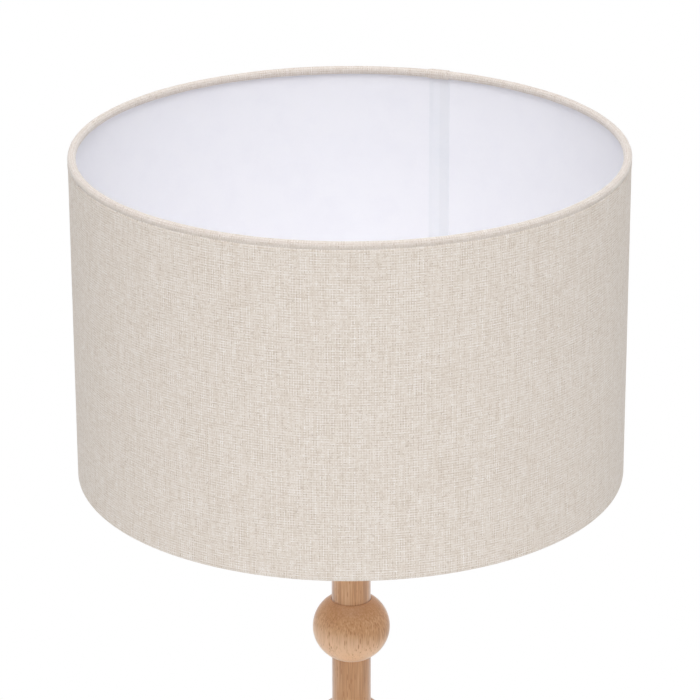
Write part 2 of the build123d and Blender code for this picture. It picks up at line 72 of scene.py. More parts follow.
def gridPart(points, wrapAlong=True, around=None, along=None):
    # points[i, j] is a grid: i goes round the piece, j goes along its outline. The last line round joins the
    # first, and so does the last along where that direction wraps. Where it doesn't, an outline end that
    # sits in one place becomes one pole vertex. The faces are turned outwards by the sign of the volume that
    # they enclose. around and along are the distances on the cloth at each grid line, one more than the lines
    # where that direction wraps.
    countAround, countAlong = points.shape[:2]
    ids = np.arange(countAround * countAlong).reshape(countAround, countAlong)
    if not wrapAlong:
        for end in (0, -1):
            if np.ptp(points[:, end], axis=0).max() < 1e-9:
                ids[:, end] = ids[0, end]
    i, j = np.meshgrid(
        np.arange(countAround), np.arange(countAlong if wrapAlong else countAlong - 1), indexing="ij"
    )
    i, j = i.ravel(), j.ravel()
    nextI, nextJ = (i + 1) % countAround, (j + 1) % countAlong
    faces = np.stack([ids[i, j], ids[nextI, j], ids[nextI, nextJ], ids[i, nextJ]], -1)
    around = np.arange(countAround + 1.0) if around is None else np.asarray(around, float)
    along = np.arange(countAlong + 1.0) if along is None else np.asarray(along, float)
    corners = ((0, 0), (1, 0), (1, 1), (0, 1))
    cloth = np.stack([np.stack([around[i + a], along[j + b]], -1) for a, b in corners], 1)
    vertices = points.reshape(-1, 3)
    first, second, third, fourth = (vertices[faces[:, k]] for k in range(4))
    volume = (first * np.cross(second, third)).sum() + (first * np.cross(third, fourth)).sum()
    startPole, endPole = faces[:, 0] == faces[:, 1], faces[:, 2] == faces[:, 3]
    whole = ~(startPole | endPole)
    shapes = [
        (faces[whole], cloth[whole]),
        (faces[startPole][:, [0, 2, 3]], cloth[startPole][:, [0, 2, 3]]),
        (faces[endPole][:, [0, 1, 2]], cloth[endPole][:, [0, 1, 2]]),
    ]
    if volume < 0:
        shapes = [(f[:, ::-1], c[:, ::-1]) for f, c in shapes]
    return vertices, shapes


def newPiece(name, *parts, sharpAngle=40):
    # one object from one or more grids, with the cloth distances in its UV map, in metres
    vertices, faces, cloth, offset = [], [], [], 0
    for partVertices, shapes in parts:
        vertices.append(partVertices)
        for f, c in shapes:
            faces += (f + offset).tolist()
            cloth.append(c.reshape(-1, 2))
        offset += len(partVertices)
    mesh = bpy.data.meshes.new(name)
    allVertices = np.concatenate(vertices)
    used = np.unique(np.concatenate([np.ravel(f) for f in faces]))
    renumbered = np.zeros(len(allVertices), int)
    renumbered[used] = np.arange(len(used))
    faces = [[int(renumbered[k]) for k in f] for f in faces]
    mesh.from_pydata((allVertices[used] * inMetres).tolist(), [], faces)
    layer = mesh.uv_layers.new(name="cloth")
    layer.data.foreach_set("uv", (np.concatenate(cloth) * inMetres).astype(np.float32).ravel())
    mesh.update()
    mesh.shade_smooth()
    mesh.set_sharp_from_angle(angle=math.radians(sharpAngle))
    piece = bpy.data.objects.new(name, mesh)
    scene.collection.objects.link(piece)
    return piece


def roundedOutline(corners, longest=5.0):
    # A closed outline of straight runs. Each corner is (across, up, rounding) and becomes an arc that
    # touches both runs. Long runs get more points, closest near the arcs, so that flat parts stay flat when
    # shaded.
    corners = np.array(corners, float)
    spots, rounding = corners[:, :2], corners[:, 2:]
    toLast, toNext = unit(np.roll(spots, 1, 0) - spots), unit(np.roll(spots, -1, 0) - spots)
    half = np.arccos(np.clip((toLast * toNext).sum(1, keepdims=True), -1, 1)) / 2
    reach = rounding / np.tan(half)
    starts, ends = spots + toLast * reach, spots + toNext * reach
    centres = spots + unit(toLast + toNext + 1e-12) * rounding / np.sin(half)
    turns = math.pi - 2 * half[:, 0]
    outline = []
    for k in range(len(spots)):
        if rounding[k, 0] > 0:
            share = np.linspace(0, 1, 3 + int(turns[k] / 0.3))[:, None]
            arc = np.sin((1 - share) * turns[k]) * (starts[k] - centres[k])
            arc = arc + np.sin(share * turns[k]) * (ends[k] - centres[k])
            outline.append(centres[k] + arc / math.sin(turns[k]))
        else:
            outline.append(spots[k][None])
        run = np.roll(starts, -1, 0)[k] - ends[k]
        length = float(np.linalg.norm(run))
        if length > 1.2:
            hold = min(0.4 / length, 0.2)
            steps = max(2, int(length / longest) + 1)
            outline.append(ends[k] + np.linspace(hold, 1 - hold, steps)[:, None] * run)
    return np.concatenate(outline)


def sleeveOutline(inner, outer, low, high, innerEase, outerEase, longest):
    # a tube wall from the inner to the outer radius, with eased corners
    start, end = (inner, low, innerEase), (inner, high, innerEase)
    return roundedOutline([start, (outer, low, outerEase), (outer, high, outerEase), end], longest)


def solidOutline(radius, low, high, lowEase, highEase, longest):
    # a solid disc or bar: it starts and ends on the axis
    edges = [(radius, low, lowEase), (radius, high, highEase)]
    rows = roundedOutline([(0, low, 0), *edges, (0, high, 0)], longest)
    return np.concatenate([[[0, low]], rows[rows[:, 0] > 1e-9], [[0, high]]])


def roundPoints(radius, height, angle):
    # set out round the upright axis: x = radius cos angle, y = radius sin angle, z = height
    x = radius * np.cos(angle)[:, None]
    return np.stack([x, radius * np.sin(angle)[:, None], height + 0 * x], -1)


def turnedPoints(outline, steps):
    # an outline of radius and height carried once round, with the angle of each of its places
    angle = np.linspace(0, 2 * np.pi, steps, endpoint=False)
    return roundPoints(outline[:, 0], outline[:, 1], angle), angle[:, None]


def turnedPart(outline, steps, closed=True, order=(0, 1, 2), shift=(0, 0, 0)):
    # a turned shape; order swaps its axes, to lie it down, and shift then moves it
    points, _ = turnedPoints(outline, steps)
    return gridPart(points[..., list(order)] + np.array(shift, float), wrapAlong=closed)


def tubePart(path, radii, sides=20):
    # a round section carried along a straight path, square to it, with both ends closed on the path
    ahead = unit(path[-1] - path[0])
    across = unit(np.cross(ahead, (0.0, 0.0, 1.0)))
    upwards = np.cross(across, ahead)
    angle = np.linspace(0, 2 * np.pi, sides, endpoint=False)[:, None, None]
    ring = np.cos(angle) * across + np.sin(angle) * upwards
    points = path[None] + ring * radii[None, :, None]
    return gridPart(points, wrapAlong=False)


def cutRound(piece, centre, ahead, radius, length):
    # drills a round hole: a turned plug along the direction ahead is taken out of the piece
    plug = np.array([(0, -length / 2), (radius, -length / 2), (radius, length / 2), (0, length / 2)])
    points, _ = turnedPoints(plug, 64)
    side = unit(np.cross(ahead, (0.0, 0.0, 1.0)))
    axes = np.stack([side, np.cross(ahead, side), np.array(ahead, float)])
    cutter = newPiece("cutter", gridPart(points @ axes + np.array(centre, float), wrapAlong=False))
    hole = piece.modifiers.new("hole", "BOOLEAN")
    hole.operation, hole.solver, hole.object = "DIFFERENCE", "EXACT", cutter
    graph = bpy.context.evaluated_depsgraph_get()
    mesh = bpy.data.meshes.new_from_object(piece.evaluated_get(graph))
    piece.modifiers.clear()
    piece.data = mesh
    bpy.data.objects.remove(cutter)
    return piece


def fitPiece(piece, material, body, finish, *nodes):
    # a finished mesh gets its material and the body that it moves with, and the nodes it stands for are
    # hidden; finish is not used
    piece.data.materials.clear()
    piece.data.materials.append(material)
    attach(piece, body)
    if nodes:
        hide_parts(*nodes)
    return piece


def turnedPiece(name, node, outline, steps, material, body, finish, **lying):
    # a turned shape as a finished piece that stands for one node
    return fitPiece(newPiece(name, turnedPart(outline, steps, **lying)), material, body, finish, node)


# ---- materials


def linear(hexColour, alpha=1.0):
    # an sRGB hex colour as linear red, green, blue and alpha
    parts = np.array([int(hexColour[k : k + 2], 16) / 255 for k in (1, 3, 5)])
    parts = np.where(parts <= 0.04045, parts / 12.92, ((parts + 0.055) / 1.055) ** 2.4)
    return (*parts.tolist(), alpha)


def addNode(tree, kind, inputs=None, out=0, **settings):
    # adds one shader node and gives back its output; an input is a fixed value or another node's output
    node = tree.nodes.new("ShaderNode" + kind)
    for key, value in settings.items():
        setattr(node, key, value)
    for key, value in (inputs or {}).items():
        if isinstance(value, bpy.types.NodeSocket):
            tree.links.new(value, node.inputs[key])
        else:
            node.inputs[key].default_value = value
    return node.outputs[out] if len(node.outputs) else node


def newMaterial(name, **fixed):
    # one Principled shader, with the values that are the same all over set on its own sockets
    material = bpy.data.materials.new(name)
    material.use_nodes = True
    tree = material.node_tree
    tree.nodes.clear()
    shader = tree.nodes.new("ShaderNodeBsdfPrincipled")
    output = tree.nodes.new("ShaderNodeOutputMaterial")
    tree.links.new(shader.outputs[0], output.inputs["Surface"])
    for key, value in fixed.items():
        shader.inputs[key.replace("_", " ")].default_value = value
    return material, tree, shader


def joinUp(tree, shader, colour, rough, height, strength, depthMm):
    # gives the shader its colour, its roughness and a bump of a real depth
    bump = addNode(tree, "Bump", {"Height": height, "Strength": strength, "Distance": depthMm * inMetres})
    for socket, value in (("Base Color", colour), ("Roughness", rough), ("Normal", bump)):
        tree.links.new(value, shader.inputs[socket])


def placedOn(tree, perMm, turn=(0, 0, 0), shift=(0, 0, 0)):
    # object coordinates in cells: perMm is the number of cells per millimetre along each axis
    place = addNode(tree, "TexCoord", out=3)
    turned = addNode(tree, "Mapping", {0: place, 1: shift, 2: turn})
    scale = tuple(k / inMetres for k in perMm)
    return addNode(tree, "Mapping", {0: turned, 3: scale})


def clearMattWood(name, turn=(0, 0, 0), shift=(0, 0, 0), sapwoodAndBounce=None, sheen=(0.85, 0.24)):
    # Rubberwood, turned, sanded and matt lacquered: fine stripes in the fibre direction, slow bands from the
    # growth rings, and short brown pore lines that shrink to dots where the surface cuts across the fibres,
    # which also looks darker there. The paler part is sapwood on most pieces, but on the upper ball it points
    # down and is painted light bounced up from the table. Its argument gives its direction from the piece's
    # centre, the centre, and where it starts and is full, in millimetres. The fibres run upright unless turn
    # lays them down. Sheen is how much the lacquer pales at a slant, and its roughness.
    look = {
        "pale": "#DBAD83",
        "middle": "#C99361",
        "deep": "#B27D50",
        # paler wood: sapwood, and on the upper ball painted light bounced up from the table
        "sapAndBounce": "#F3C8A2",
        "acrossFibres": "#B77E49",
        "pore": "#A9672F",
        # millimetres across and along the fibres, the share in the tone, and the noise's detail
        "band": (11.0, 260.0, 0.4, 2.0),
        "streak": (1.0, 30.0, 1.0, 2.0),
        "fibre": (0.55, 14.0, 0.3, 3.0),
        "poreMm": (1.25, 7.0),
    }
    material, tree, shader = newMaterial(
        name,
        Specular_IOR_Level=0.5,
        IOR=1.5,
        Coat_Weight=0.3,
        Coat_Roughness=0.22,
        Sheen_Weight=sheen[0],
        Sheen_Roughness=sheen[1],
    )

    def cells(widthMm, lengthMm, seed):
        # noise space with cells of one width across the fibres and one length along them
        moved = tuple(s + seed * 0.0137 for s in shift)
        return placedOn(tree, (1 / widthMm, 1 / widthMm, 1 / lengthMm), turn, moved)

    tone = 0.0
    for seed, size in enumerate(("band", "streak", "fibre")):
        width, length, share, detail = look[size]
        grain = addNode(
            tree, "TexNoise", {"Vector": cells(width, length, seed), "Scale": 1.0, "Detail": detail}
        )
        tone = addNode(tree, "Math", {0: grain, 1: share, 2: tone}, operation="MULTIPLY_ADD")
    toPale = addNode(tree, "MapRange", {0: tone, 1: 0.85, 2: 1.1})
    toDeep = addNode(tree, "MapRange", {0: tone, 1: 0.85, 2: 0.62})

    # how squarely the surface cuts the fibres: the normal's part along them, either way
    fibreWay = Euler(turn).to_matrix().transposed() @ Vector((0, 0, 1))
    normal = addNode(tree, "TexCoord", out=1)
    along = addNode(tree, "VectorMath", {0: normal, 1: tuple(fibreWay)}, out=1, operation="DOT_PRODUCT")
    along = addNode(tree, "Math", {0: along}, operation="ABSOLUTE")
    endShare = addNode(
        tree, "MapRange", {0: along, 1: 0.35, 2: 0.95, 4: 0.8}, interpolation_type="SMOOTHSTEP"
    )
    layers = [
        (toPale, linear(look["pale"])),
        (toDeep, linear(look["deep"])),
        (endShare, linear(look["acrossFibres"])),
    ]
    # the paler part: sapwood on most pieces, painted bounce light from the table on the upper ball
    if sapwoodAndBounce:
        way, centre, start, full = sapwoodAndBounce
        way = unit(np.array(way, float))
        offset = float(way @ np.array(centre, float))
        place = {0: addNode(tree, "TexCoord", out=3), 1: tuple(way.tolist())}
        reach = addNode(tree, "VectorMath", place, out=1, operation="DOT_PRODUCT")
        step = {0: reach, 1: (offset + start) * inMetres, 2: (offset + full) * inMetres, 4: 0.9}
        tones = {0: toDeep, 6: linear(look["sapAndBounce"]), 7: linear(look["pale"])}
        sapAndBounceShare = addNode(tree, "MapRange", step, interpolation_type="SMOOTHSTEP")
        layers.append((sapAndBounceShare, addNode(tree, "Mix", tones, out=2, data_type="RGBA")))

    poreSpace = cells(*look["poreMm"], 3)
    poreGap = addNode(tree, "TexVoronoi", {"Vector": poreSpace, "Scale": 1.0})
    poreDraw = addNode(tree, "TexVoronoi", {"Vector": poreSpace, "Scale": 1.0}, out=1)
    drawn = addNode(tree, "SeparateColor", {0: poreDraw})
    # a quarter of the cells have no pore
    poreSize = addNode(tree, "MapRange", {0: drawn, 1: 0.25, 2: 1.0, 3: 0.0, 4: 0.4})
    poreEdge = addNode(tree, "Math", {0: poreSize, 1: poreGap}, operation="SUBTRACT")
    pore = addNode(tree, "MapRange", {0: poreEdge, 1: -0.04, 2: 0.1})
    poreDepth = addNode(tree, "MapRange", {0: along, 1: 0.3, 2: 0.8, 3: 0.58, 4: 0.42})
    poreShare = addNode(tree, "Math", {0: pore, 1: poreDepth}, operation="MULTIPLY")
    colour = linear(look["middle"])
    for share, towards in layers + [(poreShare, linear(look["pore"]))]:
        colour = addNode(tree, "Mix", {0: share, 6: colour, 7: towards}, out=2, data_type="RGBA")
    # the fibre grain, which is the last one made above, also moves the gloss and the surface
    rough = addNode(tree, "MapRange", {0: grain, 1: 0.3, 2: 0.7, 3: 0.42, 4: 0.54})
    height = addNode(tree, "Math", {0: pore, 1: -0.35, 2: grain}, operation="MULTIPLY_ADD")
    joinUp(tree, shader, colour, rough, height, 0.35, 0.12)
    return material


def plainWeave(name, pale, middle, deep, contrast=1.0, sheen=0.12):
    # Natural linen-look cloth, plain woven: warp and weft pass over each other in turn. Each thread has its
    # own tone that changes along it, the warp slowly and the weft sooner, paler and darker warp yarns take
    # turns, every crossing differs a little again, and there are rare dark flecks of husk. The threads are
    # 0.78 and 0.8 mm apart, a little coarser than the real cloth's so that they still show. The pattern
    # follows the cloth through the UV map, which is in metres.
    look = {
        "warpMm": 0.78,
        "weftMm": 0.80,
        "warpRunMm": 20.0,
        "weftRunMm": 6.0,
        "threadTone": 1.35,
        "warpTurnTone": 0.185,
        "weftTurnTone": 0.045,
        "crossingTone": 0.3,
        "gapShade": 0.1,
        "fleck": "#9C7F62",
        "fleckShare": 0.01,
    }
    material, tree, shader = newMaterial(
        name, Specular_IOR_Level=0.2, Sheen_Weight=sheen, Sheen_Roughness=0.5
    )
    cloth = addNode(tree, "UVMap", uv_map="cloth")
    split = tree.nodes.new("ShaderNodeSeparateXYZ")
    tree.links.new(cloth, split.inputs[0])
    # threads wander a little over 11 mm
    wobble = addNode(tree, "TexNoise", {"Vector": cloth, "Scale": 90.0, "Detail": 2.0})
    wander = addNode(tree, "Math", {0: wobble, 1: 0.9, 2: -0.45}, operation="MULTIPLY_ADD")
    indices, tones, waves = [], [], []
    for way, axis, seed in (("warp", 0, 3.1), ("weft", 1, 17.7)):
        perThread = 1 / (look[way + "Mm"] * inMetres)
        place = {0: split.outputs[axis], 1: perThread, 2: wander}
        place = addNode(tree, "Math", place, operation="MULTIPLY_ADD")
        index = addNode(tree, "Math", {0: place}, operation="FLOOR")
        lane = addNode(tree, "Math", {0: index, 1: 3.37, 2: seed}, operation="MULTIPLY_ADD")
        perRun = 1 / (look[way + "RunMm"] * inMetres)
        run = addNode(tree, "Math", {0: split.outputs[1 - axis], 1: perRun}, operation="MULTIPLY")
        spot = addNode(tree, "CombineXYZ", {0: lane, 1: run, 2: seed})
        wave = addNode(tree, "Math", {0: place, 1: math.pi}, operation="MULTIPLY")
        own = addNode(tree, "TexNoise", {"Vector": spot, "Scale": 1.0, "Detail": 2.0})
        centred = {0: own, 1: look["threadTone"], 2: -look["threadTone"] / 2}
        own = addNode(tree, "Math", centred, operation="MULTIPLY_ADD")
        yarn = addNode(tree, "Math", {0: index, 1: 1.0}, operation="PINGPONG")
        turnTone = look[way + "TurnTone"]
        yarn = addNode(tree, "MapRange", {0: yarn, 3: -turnTone, 4: turnTone})
        indices.append(index)
        tones.append(addNode(tree, "Math", {0: own, 1: yarn}, operation="ADD"))
        waves.append(addNode(tree, "Math", {0: wave}, operation="SINE"))
    # the product of both waves is positive where the warp is on top and negative where the weft is
    crossing = addNode(tree, "Math", {0: waves[0], 1: waves[1]}, operation="MULTIPLY")
    onTop = addNode(tree, "MapRange", {0: crossing, 1: -0.12, 2: 0.12})
    swell = addNode(tree, "Math", {0: crossing}, operation="ABSOLUTE")
    swell = addNode(tree, "Math", {0: swell, 1: 0.5}, operation="POWER")
    thread = addNode(tree, "Mix", {0: onTop, 2: tones[1], 3: tones[0]}, data_type="FLOAT")
    cell = addNode(tree, "CombineXYZ", {0: indices[0], 1: indices[1]})
    chance = addNode(tree, "TexWhiteNoise", {"Vector": cell})
    # tone is 0.5 plus the thread's and the crossing's departures from their own middles
    crossingTone, fleckFrom = look["crossingTone"], 1 - look["fleckShare"]
    threadPart = addNode(tree, "Math", {0: thread, 1: 0.5 - crossingTone / 2}, operation="ADD")
    tone = addNode(tree, "Math", {0: chance, 1: crossingTone, 2: threadPart}, operation="MULTIPLY_ADD")
    toPale = addNode(tree, "MapRange", {0: tone, 1: 0.5, 2: 0.5 + 0.5 / contrast})
    toDeep = addNode(tree, "MapRange", {0: tone, 1: 0.5, 2: 0.5 - 0.5 / contrast})
    fleck = addNode(tree, "MapRange", {0: chance, 1: fleckFrom, 2: 1 - look["fleckShare"] / 2, 4: 0.4})
    colour = linear(middle)
    for share, towards in ((toPale, pale), (toDeep, deep), (fleck, look["fleck"])):
        colour = addNode(tree, "Mix", {0: share, 6: colour, 7: linear(towards)}, out=2, data_type="RGBA")
    gap = addNode(tree, "MapRange", {0: swell, 1: 0.0, 2: 0.6, 3: 1 - look["gapShade"], 4: 1.0})
    colour = addNode(tree, "VectorMath", {0: colour, "Scale": gap}, operation="SCALE")
    rough = addNode(tree, "MapRange", {0: tone, 1: 0.2, 2: 0.8, 3: 0.82, 4: 0.92})
    height = addNode(tree, "Math", {0: tone, 1: 0.4, 2: swell}, operation="MULTIPLY_ADD")
    joinUp(tree, shader, colour, rough, height, 0.5, 0.15)
    return material


def fineGrained(name, base, worn, grainMm, rough=(0.4, 0.5), bumpMm=0.02, stretch=(1, 1, 1), **fixed):
    # One recipe for hard finishes: a base colour that drifts a little towards a second one, and a fine grain
    # that moves the roughness and the surface. stretch lengthens the grain along an axis, as rolling or
    # turning does.
    material, tree, shader = newMaterial(name, **fixed)
    drift, grain = (
        addNode(tree, "TexNoise", {"Vector": placedOn(tree, perMm), "Scale": 1.0, "Detail": 3.0})
        for perMm in ((0.06, 0.06, 0.06), tuple(1 / (grainMm * s) for s in stretch))
    )
    both = addNode(tree, "Math", {0: grain, 1: 0.4, 2: drift}, operation="MULTIPLY_ADD")
    share = addNode(tree, "MapRange", {0: both, 1: 0.55, 2: 0.95})
    colour = addNode(tree, "Mix", {0: share, 6: linear(base), 7: linear(worn)}, out=2, data_type="RGBA")
    roughness = addNode(tree, "MapRange", {0: grain, 1: 0.3, 2: 0.7, 3: rough[0], 4: rough[1]})
    joinUp(tree, shader, colour, roughness, grain, 0.4, bumpMm)
    return material


# Cloth over the white backing, and the same cloth rolled round the wire, which looks browner with nothing
# white behind it. Bent so tightly, its loose fibres stand up and catch more light at a slant.
shadeCloth = plainWeave("wovenLinenLook", "#F8F3EF", "#E7DDD3", "#CFC0B1")
hemCloth = plainWeave("wovenHemRoll", "#F2EBE6", "#DFD5CD", "#C9B9AB", contrast=0.8, sheen=0.45)

# Shade backing: calendered PVC sheet, a smooth cool white with a soft satin face.
backingSheet = fineGrained(
    "calenderedBacking", "#F7F7FD", "#F4F4FB", 1.5, rough=(0.5, 0.58), bumpMm=0.004, Specular_IOR_Level=0.4
)
# The overlap holds two sheets and glue tape, so less light comes through; that is painted shade, a little
# greyer colour than the backing, greyer still over the tape.
lapSheet = fineGrained(
    "lappedBacking", "#F2F3F9", "#EEF0F7", 1.5, rough=(0.5, 0.58), bumpMm=0.004, Specular_IOR_Level=0.4
)
lapTape = {"start": 0.6, "end": 6.4, "shade": 0.965}  # millimetres from the cut edge, and its lightness
lapTree = lapSheet.node_tree
lapShader = lapTree.nodes["Principled BSDF"]
lapPlace = lapTree.nodes.new("ShaderNodeSeparateXYZ")
lapTree.links.new(addNode(lapTree, "UVMap", uv_map="cloth"), lapPlace.inputs[0])
tapeEdges = []
for start, end in ((lapTape["start"] - 0.3, lapTape["start"]), (lapTape["end"] + 0.8, lapTape["end"])):
    edge = {0: lapPlace.outputs[0], 1: start * inMetres, 2: end * inMetres}
    tapeEdges.append(addNode(lapTree, "MapRange", edge))
onTape = addNode(lapTree, "Math", {0: tapeEdges[0], 1: tapeEdges[1]}, operation="MULTIPLY")
# painted shade: darker over the tape, where still less light comes through
paintedTapeShade = addNode(lapTree, "MapRange", {0: onTape, 3: 1.0, 4: lapTape["shade"]})
plainLap = lapShader.inputs["Base Color"].links[0].from_socket
lapColour = addNode(lapTree, "VectorMath", {0: plainLap, "Scale": paintedTapeShade}, operation="SCALE")
lapTree.links.new(lapColour, lapShader.inputs["Base Color"])

# Pressed wool felt: short fibres that hold no gloss.
pressedFelt = fineGrained(
    "pressedFelt", "#6B6258", "#574F46", 0.7, rough=(0.9, 1.0), bumpMm=0.25, Specular_IOR_Level=0.1,
    Sheen_Weight=0.3, Sheen_Roughness=0.6,
)
# Sand-cast iron with a thin dark paint: coarse skin.
castIron = fineGrained(
    "paintedCastIron", "#3A3A3C", "#4A4A4B", 0.9, rough=(0.6, 0.75), bumpMm=0.12, Metallic=0.2
)
# Zinc-plated turned steel: bright, a little blue, fine turning lines.
zincSteel = fineGrained(
    "zincPlatedSteel", "#B9BBB8", "#A3A5A2", 0.25, rough=(0.28, 0.4), stretch=(4, 4, 0.3), Metallic=1.0
)
# Stamped brass sheet, satin from the press.
stampedBrass = fineGrained(
    "stampedBrass", "#CDAA62", "#B8954F", 0.3, rough=(0.3, 0.42), stretch=(3, 3, 0.4), Metallic=1.0
)
# White moulded lampholder plastic: an even gloss with a trace of flow.
mouldedWhite = fineGrained(
    "mouldedWhitePlastic", "#EAEAE6", "#E3E3DF", 0.8, rough=(0.26, 0.34), bumpMm=0.006
)
# Softer moulded plastic of the cord bush.
mouldedBush = fineGrained("mouldedBushPlastic", "#DCD8CF", "#D2CEC4", 0.6, rough=(0.42, 0.52), bumpMm=0.012)
# Glazed ceramic core.
glazedCore = fineGrained("glazedCeramicCore", "#E4E1D8", "#D9D5CB", 0.9, rough=(0.2, 0.3), bumpMm=0.02)
# Powder coat on steel: slight orange peel.
powderCoat = fineGrained(
    "whitePowderCoat", "#EDEDEC", "#E6E6E4", 1.1, rough=(0.36, 0.46), bumpMm=0.03, Coat_Weight=0.1
)
# Rolled aluminium of the bulb's screw cap.
rolledAluminium = fineGrained(
    "rolledAluminium", "#C4C5C6", "#B4B5B6", 0.2, rough=(0.25, 0.36), stretch=(4, 4, 0.3), Metallic=1.0
)
blackGlassBead = fineGrained("blackInsulator", "#121212", "#1B1B1B", 0.5, rough=(0.15, 0.25))
bulbPlastic = fineGrained("bulbBodyPlastic", "#EDEDEB", "#E6E6E3", 0.7, rough=(0.3, 0.38), bumpMm=0.006)
# Opal glass: blown, milky all through, with a polished skin.
opalGlass = fineGrained(
    "blownOpalGlass", "#E2E0D9", "#DDDBD4", 6.0, rough=(0.12, 0.2), bumpMm=0.01, IOR=1.5, Coat_Weight=0.2
)
print("materials made")

# ---- shade
shade = {
    # millimetres and degrees
    "rollRadius": 2.7,  # the rolled edge, round its wire
    "rollProud": 0.3,  # how far the roll stands outside the cloth
    "wallInRoll": 0.7,  # the wall ends this far past the roll's centre
    "seamStart": 67.5,  # the overlap, in degrees from +X
    "seamArc": 4.7,
    "backing": 0.4,  # thickness of the backing
    "coverStep": 0.45,  # height of the outer step at the overlap
    "hemStep": 0.55,
    "lapThickness": 0.45,
    "creaseDrop": 1.9,  # the top crease lies this far below the roll's centre
    "turnIn": 0.36,  # the cloth dips this far into the crease
    "lip": 0.25,  # and stands out this far just below it
    "hemWaves": ((0.045, 11, 1), (0.03, 29, 2), (0.02, 67, 0)),  # height, number round the drum and phase
    "turnUnder": 200.0,  # the cloth goes this far round the bottom roll, in degrees
    "tuckedRadius": 2.5,  # the roll inside it
    "aroundSteps": 540,
}
wallLow, wallHigh = nodeBox("shade_fabric")
linerLow, linerHigh = nodeBox("shade_liner")
coverRadius = wallHigh[0]
linerOutside = linerHigh[0]
linerInside = linerOutside - shade["backing"]
rollCentreRadius = coverRadius + shade["rollProud"] - shade["rollRadius"]
underCentreRadius = coverRadius - shade["rollRadius"]
rollLevels = {
    "top": wallHigh[2] - shade["wallInRoll"],
    "bottom": wallLow[2] + shade["wallInRoll"],
}


def roundFrom(startDegrees, steps, closeLines):
    # angles once round from a start, in degrees past it, with more lines close to each of closeLines
    offsets = np.array([-1.2, -0.8, -0.4, -0.2, -0.1, -0.05, -0.02, 0, 0.02, 0.05, 0.1, 0.2, 0.4, 0.8, 1.2])
    past = [np.linspace(0, 360, steps, endpoint=False)]
    past += [(line + offsets) % 360 for line in closeLines]
    past = np.unique(np.round(np.concatenate(past), 4))
    return past, np.radians(startDegrees + past)


def makeCover():
    # The cloth as one outline carried round: down the outside, round under the bottom roll and back up the
    # inside. It dips into the crease below the top roll, with a small lip under the crease, and in the
    # overlap it stands out by one sheet and ends in a sharp step.
    seamEnd = shade["seamStart"] + shade["seamArc"]
    past, angle = roundFrom(seamEnd, shade["aroundSteps"], (0, 360 - shade["seamArc"]))
    lapStart = 360 - shade["seamArc"]
    lap = shade["coverStep"] * smoothStep(lapStart - 0.9, lapStart + 0.3, past)[:, None]
    lap[past < 0.01] = 0
    crease = rollLevels["top"] - shade["creaseDrop"]
    nearTop = np.array([0, 0.15, 0.3, 0.45, 0.6, 0.8, 1.0, 1.2, 1.5, 2.0, 2.6, 3.3, 4.2])
    wall = np.concatenate(
        [[wallHigh[2]], crease - nearTop, np.linspace(crease - 8, rollLevels["bottom"] + 0.4, 26)]
    )
    under = np.clip(crease - wall, 0, None)
    dip = shade["turnIn"] * (1 - np.sqrt(np.clip(1 - (1 - np.clip(under, 0, 1)) ** 2, 0, 1)))
    lip = shade["lip"] * smoothStep(0.1, 1.1, under) * (1 - smoothStep(1.1, 4.0, under))
    wallRadius = coverRadius + (lip - dip)[None] + lap * smoothStep(0, 2, under)[None]
    # round the bottom roll the distance from the roll's centre stays the same, and the inside runs back above
    turn = np.radians(np.linspace(0, shade["turnUnder"], 26))
    thickness = coverRadius - linerOutside
    outer, inner = shade["rollRadius"] + lap, shade["rollRadius"] - thickness + 0 * lap
    radius = np.concatenate(
        [
            wallRadius,
            underCentreRadius + outer * np.cos(turn),
            underCentreRadius + inner * np.cos(turn[::-1]),
            linerOutside + 0 * lap,
        ],
        1,
    )
    height = np.concatenate(
        [
            wall[None] + 0 * lap,
            rollLevels["bottom"] - outer * np.sin(turn),
            rollLevels["bottom"] - inner * np.sin(turn[::-1]),
            wallHigh[2] + 0 * lap,
        ],
        1,
    )
    down = wallHigh[2] - np.concatenate([wall, rollLevels["bottom"] - turn * shade["rollRadius"]])
    along = np.concatenate([down, down[len(wall) :][::-1], [0, 0]])
    around = np.radians(np.concatenate([past, [360]])) * coverRadius
    points = roundPoints(radius, height, angle)
    return newPiece("shadeCover", gridPart(points, around=around, along=along), sharpAngle=55)


def makeLiner():
    # The backing: a thin cylinder inside the cloth.
    _, angle = roundFrom(shade["seamStart"], 360, ())
    outline = sleeveOutline(linerInside, linerOutside, linerLow[2], linerHigh[2], 0.1, 0.1, 12)
    return newPiece("shadeBacking", gridPart(roundPoints(outline[:, 0], outline[:, 1], angle)))


def makeLap():
    # The lapped end of the sheet inside the drum: thick at its cut edge, on the right, and fading out on the
    # left.
    lapLow, lapHigh = nodeBox("shade_lap")
    across = np.concatenate([[0, 0.01, 0.03], np.linspace(0.08, 0.72, 10), np.linspace(0.76, 1, 10)])
    thickness = shade["lapThickness"] * (1 - 0.92 * smoothStep(0.78, 1.0, across))
    thickness[0] *= 0.6
    angle = np.radians(shade["seamStart"] + across * shade["seamArc"])
    radius = np.concatenate([linerInside - thickness, np.full(len(across), linerInside - 0.01)])
    height = np.concatenate([[lapLow[2]], np.linspace(lapLow[2], lapHigh[2], 20), [lapHigh[2]]])
    points = roundPoints(radius[:, None] + 0 * height, height, np.concatenate([angle, angle[::-1]]))
    points[:, [0, -1], :2] = points[:, [0, -1], :2].mean(0)  # both ends close on one point
    fromEdge = across * math.radians(shade["seamArc"]) * linerInside
    around = np.concatenate([fromEdge, fromEdge[::-1], [0]])
    return newPiece("shadeLapStrip", gridPart(points, wrapAlong=False, around=around))


